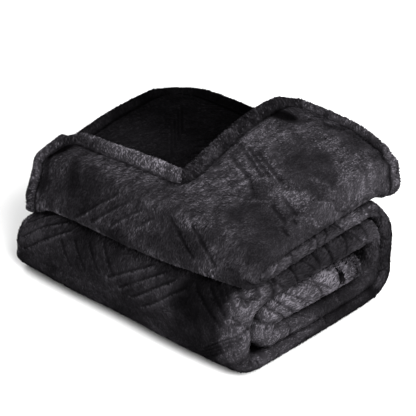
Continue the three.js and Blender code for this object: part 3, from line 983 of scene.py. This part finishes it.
angle = SWING * clouds(u_root, v_root, size=110, seed=31)
angle = angle + SMALL_SWING * noise(u_root, v_root, size=5, seed=71)
angle = angle + seeded.normal(0, TUFT_SWING, TUFTS)
flat = np.stack([np.sin(angle), np.cos(angle)], axis=1) * (1 - on_hem)[:, None]
flat += (to_edge + HEM_SWING * seeded.normal(0, 1, (TUFTS, 2))) * on_hem[:, None]
flat = unit(flat)
lean_flat = unit(way_across * flat[:, :1] + way_along * flat[:, 1:])
pile_angle = np.arctan2(flat[:, 0], flat[:, 1])
pile_angle -= math.pi * np.sign(pile_angle) * (np.abs(pile_angle) > math.pi / 2)
print("the pile swings by", round(math.degrees(float(angle.std()))), "degrees")

# %% [markdown]
# A tuft is a few hundred fibres that hold together: about a millimetre wide at the root and two or
# three millimetres long. Hair strands could be used, but they don't leave Blender as meshes. So
# each tuft is a small closed spike of four triangles, with a triangle for its root and one point.
# In the pressed grooves, and where a tuft hangs over one, it is shorter and lies lower.

# %% The tufts
TUFT_LENGTH, SHORTEST, LONGEST = 3.0, 0.75, 1.2
TUFT_WIDTH, NARROWEST, WIDEST = 1.4, 0.7, 1.3
TUFT_ROOT = 0.35
HEM_SHORTER, GROOVE_SHORTER = 0.25, 0.4
# how steeply a tuft rises from the cloth, in radians, and what changes that
RISE, RISE_CLOUDS, RISE_ROUGH, RISE_TUFT = 0.22, 0.14, 0.14, 0.07
GROOVE_LOWER, RISE_LIMITS = 0.2, (0.04, 0.8)
# the corners of the root as shares of the width, to the side and outwards
ROOT_CORNERS = ((0.5, 0.0), (-0.5, 0.0), (0.0, 0.3))
# the parts of a tuft's length over which its root and its tip are taken to lie
LOW_PART, TIP_PART = 0.15, 0.8

groove = np.minimum(1, lattice(u_root, v_root)[0])
rise = RISE + RISE_CLOUDS * noise(u_root, v_root, size=8, seed=91) + RISE_ROUGH * rough
rise = np.clip(rise + seeded.normal(0, RISE_TUFT, TUFTS) - GROOVE_LOWER * groove, *RISE_LIMITS)
lean = unit(lean_flat * np.cos(rise)[:, None] + up * np.sin(rise)[:, None])
length = TUFT_LENGTH * seeded.uniform(SHORTEST, LONGEST, TUFTS) * (1 - HEM_SHORTER * on_hem)
ahead_u, ahead_v = (flat[:, i] * length * TIP_PART for i in (0, 1))
ahead = np.minimum(1, lattice(u_root + ahead_u, v_root + ahead_v)[0])
length *= 1 - GROOVE_SHORTER * np.maximum(groove, ahead)
width = TUFT_WIDTH * seeded.uniform(NARROWEST, WIDEST, TUFTS)
side_one = unit(np.cross(lean, up))
side_two = unit(np.cross(lean, side_one))
points = np.empty((TUFTS, 4, 3))
for i, (aside, out) in enumerate(ROOT_CORNERS):
    points[:, i] = roots - up * TUFT_ROOT + (side_one * aside - side_two * out) * width[:, None]
points[:, 3] = roots + lean * length[:, None]
points[:, :, 2] = np.maximum(0, points[:, :, 2])
reach = length * np.cos(rise)
low_place, tip_place = ((u_root + flat[:, 0] * reach * part, v_root + flat[:, 1] * reach * part)
                        for part in (LOW_PART, TIP_PART))
print("lowest point", round(float(points[:, :, 2].min()), 2), "mm")

# %% [markdown]
# The tone of a tuft is read at the places on the cloth that its root and its tip lie over, so the
# pressed lines stay sharp: painted shade in a groove or a crease, a painted highlight on a lip,
# streaky in rough pile. Painted shade also darkens the pile where little light gets in, on the
# stitched groove, in the recess, on the under side and at the roots of the tufts; the hem's left
# arm is painted lighter and its right arm darker.

# %% Tone of the pile
# how much lighter or darker each thing makes the pile, as powers of e, and their limits
LIGHT_SPAN, TONE_LIMITS = 0.8, (-2.4, 1.35)
# a painted highlight on the lattice's lips; painted shade in its grooves, where the pile also lies
# flat, and in the creases
LIP_HIGHLIGHT, GROOVE_FLAT_AND_SHADE, CREASE_SHADE, CREASE_FINE = 1.4, 1.8, 1.6, 0.9
STREAK_TONE, STREAK_ROUGH, GROOVE_CALM, HEM_CALM = 0.3, 1.35, 0.8, 0.6
SPOTS, SPOTS_ROUGH = 0.12, 0.5
# the tone of each place as a share of the pile's colour; the under side's is partly painted shade
UNDER_SIDE_SHADE = 0.56
# painted shade in the recess: its darkest and lightest tone, and where along the strip it goes
# from one to the other
RECESS_DEEP_SHADE, RECESS_LIGHT_SHADE, RECESS_SPAN = 0.11, 0.22, (60, 110)
# the hem's tone; painted light on its left arm and painted shade on its right arm
HEM_TONE, LEFT_ARM_PAINTED_LIGHT, RIGHT_ARM_PAINTED_SHADE = 0.85, 1.55, 0.3
# painted shade on the stitched groove behind the hem: where, how wide, how dark
STITCH_AT, STITCH_HALF, STITCH_SHADE = 17.0, 2.0, 0.85
# painted shade where the cloth is shut in, by how open the place is
SHUT_IN_SHADE, OPEN_SPAN = 0.06, (0.1, 0.62)
# painted shade at the roots: the three corners of the root, as shares of the tone at the root
ROOT_SHADE = (0.6, 0.6, 0.75)
# how far the shading normals, which are made in the next cell, differ from tuft to tuft
JITTER = 0.13

jitter = seeded.normal(0, JITTER, (TUFTS, 3))
spots = seeded.normal(0, 1, TUFTS) * (SPOTS + SPOTS_ROUGH * rough)
# painted shade in the recess
recess = RECESS_DEEP_SHADE + (RECESS_LIGHT_SHADE - RECESS_DEEP_SHADE) * smooth(*RECESS_SPAN, v_root)
# partly painted shade on the under side
place_light_and_shade = np.where(under, UNDER_SIDE_SHADE, 1) * np.where(in_recess, recess, 1)
# painted light on the hem's left arm, painted shade on its right arm
arm_light_and_shade = np.where(from_arm[:, 1] > from_arm[:, 0], LEFT_ARM_PAINTED_LIGHT, RIGHT_ARM_PAINTED_SHADE)
place_light_and_shade *= 1 + (np.where(at_arm, arm_light_and_shade, HEM_TONE) - 1) * on_hem
# painted shade on the stitched groove
place_light_and_shade *= 1 - STITCH_SHADE * np.exp(-(((root_edge - STITCH_AT) / STITCH_HALF) ** 2))
# painted shade where the cloth is shut in
place_light_and_shade *= SHUT_IN_SHADE + (1 - SHUT_IN_SHADE) * smooth(*OPEN_SPAN, open_here)


def pile_tone(u, v):
    """The tone of the pile at places on the cloth, as a share of its full colour."""
    deep, lip = lattice(u, v)
    deep = np.minimum(1, deep)
    value = streaks(u, v, pile_angle) * (STREAK_TONE + STREAK_ROUGH * rough) + spots
    value = LIGHT_SPAN * light + value * (1 - GROOVE_CALM * deep)
    # painted highlight on the lattice's lips, painted shade in its grooves
    value += LIP_HIGHLIGHT * lip * (1 - HEM_CALM * on_hem) - GROOVE_FLAT_AND_SHADE * deep
    # painted shade in the creases
    value -= CREASE_SHADE * creases(u, v, CREASE_FINE)
    return np.exp(np.clip(value, *TONE_LIMITS)) * place_light_and_shade


low_tone, tip_tone = pile_tone(*low_place), pile_tone(*tip_place)
# the roots are painted in shade, darker than the tips
shade = np.stack([low_tone * share for share in ROOT_SHADE] + [tip_tone], axis=1)
print("tones", np.percentile(tip_tone, [5, 50, 95]).round(2))

# %% [markdown]
# Tufts that hold together take the light as one brushed surface, as velvet does, and not as a
# field of needles. So the shading normals of a tuft are not those of its spike but those of that
# surface: it leans back from the way of the pile and dips at the grooves, creases and streaks.

# %% Normals of the brushed surface
# the tilt against the pile, in radians, and how much less it is on the hem
NAP_TILT, HEM_UPRIGHT = 0.45, 0.5
# how deep a groove and a streak seem, how wide a crease is, and the least share of the streaks
GROOVE_SLOPE, STREAK_SLOPE, CREASE_SOFT, STREAK_LEAST = 0.9, 0.5, 1.4, 0.3
# how far to each side the slope is measured
PROBE = 0.6


def nap_normal(u, v):
    """The shading normals of the brushed surface at places on the cloth."""
    tilt = NAP_TILT * (1 - HEM_UPRIGHT * on_hem)
    made = up * np.cos(tilt)[:, None] - lean_flat * np.sin(tilt)[:, None] + jitter
    for way, du, dv in ((way_across, PROBE, 0), (way_along, 0, PROBE)):
        ahead, behind = (u + du, v + dv), (u - du, v - dv)
        slope = GROOVE_SLOPE * (lattice(*ahead)[0] - lattice(*behind)[0])
        slope += creases(*ahead, CREASE_SOFT) - creases(*behind, CREASE_SOFT)
        fall = streaks(*ahead, pile_angle) - streaks(*behind, pile_angle)
        slope -= STREAK_SLOPE * fall * (STREAK_LEAST + rough)
        made += way * (slope / (2 * PROBE))[:, None]
    return unit(made)


low_normals, tip_normals = nap_normal(*low_place), nap_normal(*tip_place)
nap_normals = np.stack([low_normals, low_normals, low_normals, tip_normals], axis=1)
leaning = np.degrees(np.arccos(np.clip((tip_normals * up).sum(axis=1), -1, 1)))
print("the brushed surface leans by", round(float(leaning.mean())), "degrees on average")

# %% [markdown]
# All spikes of a piece are one mesh, which is filled straight from the arrays because that is
# fast. The shade from root to tip is stored as an attribute that the material reads. The tufts
# are dealt to four pieces at random, so each piece is thin pile over the whole throw. The skin
# gets the average tone of the tufts round each of its points, and shows between them unnoticed.

# %% Pieces of pile
PILE_PIECES = 4
SPIKE = np.array([[0, 1, 3], [1, 2, 3], [2, 0, 3], [0, 2, 1]])
# the brightest tone that the skin takes, painted shade on skin where hardly any tufts grow, and
# what counts as hardly any
BRIGHTEST, BARE_SHADE, FEW_TUFTS = 2, 0.1, 0.05


def store_shade(mesh, values):
    """Stores one shade for each point of a mesh."""
    stored = mesh.attributes.new("shade", "FLOAT", "POINT")
    stored.data.foreach_set("value", values.astype(np.float32))


def tuft_piece(name, own):
    """One mesh of closed spikes, with their shade as an attribute."""
    count = len(own)
    mesh = bpy.data.meshes.new(name)
    mesh.vertices.add(count * 4)
    mesh.vertices.foreach_set("co", (points[own].reshape(-1, 3) * MM).ravel().astype(np.float32))
    index = (np.arange(count)[:, None, None] * 4 + SPIKE[None]).reshape(-1)
    mesh.loops.add(count * 12)
    mesh.loops.foreach_set("vertex_index", index.astype(np.int32))
    mesh.polygons.add(count * 4)
    mesh.polygons.foreach_set("loop_start", np.arange(0, count * 12, 3, dtype=np.int32))
    mesh.update(calc_edges=True)
    mesh.shade_smooth()
    mesh.normals_split_custom_set_from_vertices(nap_normals[own].reshape(-1, 3))
    store_shade(mesh, shade[own].ravel())
    piece = bpy.data.objects.new(name, mesh)
    bpy.context.scene.collection.objects.link(piece)
    return piece


def skin_shade():
    """The average tone of the tufts round each point of the skin; painted shade where few grow."""
    total, met = np.zeros(len(skin_points)), np.zeros(len(skin_points))
    for i in range(4):
        np.add.at(total, ids[:, i], np.minimum(BRIGHTEST, tip_tone) * shares[:, i])
        np.add.at(met, ids[:, i], shares[:, i])
    return np.where(met > FEW_TUFTS, total / np.maximum(FEW_TUFTS, met), BARE_SHADE)


store_shade(throw.data, skin_shade())
dealt = np.array_split(seeded.permutation(TUFTS), PILE_PIECES)
pile_pieces = [tuft_piece(f"pile_{k + 1}", own) for k, own in enumerate(dealt)]
print(len(pile_pieces), "pieces of pile,", len(pile_pieces[0].data.polygons), "triangles in each")

# %% [markdown]
# The colour is a near-black charcoal with a trace of violet. The ground cloth under the tufts has
# the same colour at under half its brightness, as painted shade between the tufts. Both the ground
# cloth and the pile have small differences from fibre to fibre. That effect is one node group with
# a size and a strength, which each material places with its own values. Pile has no gloss: light
# goes in between the fibres and little comes out, so the shader is rough and has no highlights at
# all.


# %% Material
def fibre_group():
    """A node group that puts out a shade near one which changes from fibre to fibre."""
    group = bpy.data.node_groups.new("fibre_shade", "ShaderNodeTree")
    for name in ("Size", "Strength"):
        group.interface.new_socket(name, in_out="INPUT", socket_type="NodeSocketFloat")
    group.interface.new_socket("Shade", in_out="OUTPUT", socket_type="NodeSocketFloat")
    nodes, links = group.nodes, group.links
    given, result = nodes.new("NodeGroupInput"), nodes.new("NodeGroupOutput")
    place = nodes.new("ShaderNodeTexCoord")
    grain = nodes.new("ShaderNodeTexNoise")
    centred = nodes.new("ShaderNodeMath")
    centred.operation = "SUBTRACT"
    centred.inputs[1].default_value = 0.5
    scaled = nodes.new("ShaderNodeMath")
    scaled.operation = "MULTIPLY_ADD"
    scaled.inputs[2].default_value = 1.0
    links.new(place.outputs["Object"], grain.inputs["Vector"])
    links.new(given.outputs["Size"], grain.inputs["Scale"])
    links.new(grain.outputs["Fac"], centred.inputs[0])
    links.new(centred.outputs[0], scaled.inputs[0])
    links.new(given.outputs["Strength"], scaled.inputs[1])
    links.new(scaled.outputs[0], result.inputs["Shade"])
    return group


fibre_shade = fibre_group()


PLUSH_ROUGHNESS = 0.85


def plush(name, colour, size, strength):
    """A rough, dark cloth whose colour is shaded by its fibres and by the stored shade."""
    material = bpy.data.materials.new(name)
    material.use_nodes = True
    nodes, links = material.node_tree.nodes, material.node_tree.links
    shader = nodes["Principled BSDF"]
    shader.inputs["Roughness"].default_value = PLUSH_ROUGHNESS
    shader.inputs["Specular IOR Level"].default_value = 0.0
    fibres = nodes.new("ShaderNodeGroup")
    fibres.node_tree = fibre_shade
    fibres.inputs["Size"].default_value = size
    fibres.inputs["Strength"].default_value = strength
    reader = nodes.new("ShaderNodeAttribute")
    reader.attribute_name = "shade"
    both = nodes.new("ShaderNodeMath")
    both.operation = "MULTIPLY"
    links.new(fibres.outputs["Shade"], both.inputs[0])
    links.new(reader.outputs["Fac"], both.inputs[1])
    mix = nodes.new("ShaderNodeMix")
    mix.data_type = "RGBA"
    mix.blend_type = "MULTIPLY"
    mix.inputs["Factor"].default_value = 1
    mix.inputs["A"].default_value = (*colour, 1)
    links.new(both.outputs[0], mix.inputs["B"])
    links.new(mix.outputs["Result"], shader.inputs["Base Color"])
    return material


# the ground's colour is the pile's, darkened as painted shade between the tufts
shaded_ground_cloth = plush("plush_ground_shaded", (0.014, 0.0131, 0.0149), size=600, strength=0.8)
pile_cloth = plush("plush_pile", (0.031, 0.029, 0.0329), size=1100, strength=0.5)
throw.data.materials.append(shaded_ground_cloth)
for piece in pile_pieces:
    piece.data.materials.append(pile_cloth)
print("materials:", [material.name for material in bpy.data.materials])

# %% [markdown]
# The throw lies on a plain white floor. One large soft light stands at the right, so the right
# end and the top take most of it and the long front less. A weaker one behind on the left draws
# the far edges, and the white room fills the shadows.


# %% Floor and light
def soft_light(name, azimuth, elevation, distance, size, power):
    """A square soft light that looks at the bundle."""
    data = bpy.data.lights.new(name, "AREA")
    data.size = size
    data.energy = power
    light = bpy.data.objects.new(name, data)
    way = direction(azimuth, elevation)
    light.location = CAMERA_TARGET + way * distance
    light.rotation_euler = (-way).to_track_quat("-Z", "Y").to_euler()
    bpy.context.scene.collection.objects.link(light)


FLOOR_HALF = 3000
floor_corners = np.array([(-1, -1, 0), (1, -1, 0), (1, 1, 0), (-1, 1, 0)]) * FLOOR_HALF
floor = mesh_object("floor", floor_corners, [(0, 1, 2, 3)])
paper = bpy.data.materials.new("paper")
paper.use_nodes = True
paper_shader = paper.node_tree.nodes["Principled BSDF"]
paper_shader.inputs["Base Color"].default_value = (0.8, 0.8, 0.8, 1)
paper_shader.inputs["Roughness"].default_value = 0.9
floor.data.materials.append(paper)
soft_light("key", azimuth=68, elevation=38, distance=2.0, size=1.2, power=105)
soft_light("back", azimuth=238, elevation=34, distance=2.4, size=1.4, power=45)
world = bpy.data.worlds.new("studio")
world.use_nodes = True
room = world.node_tree.nodes["Background"]
room.inputs["Color"].default_value = (1, 1, 1, 1)
room.inputs["Strength"].default_value = 0.5
bpy.context.scene.world = world
bpy.context.scene.view_settings.view_transform = "Standard"
print("lights:", [light.name for light in bpy.data.lights])

# %% [markdown]
# Everything rides on the imported body: the skin and the pieces of pile are attached to it, and
# the packed solid is hidden.

# %% Finish
for piece in [throw] + pile_pieces:
    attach(piece, "root")
    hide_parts("blanket")
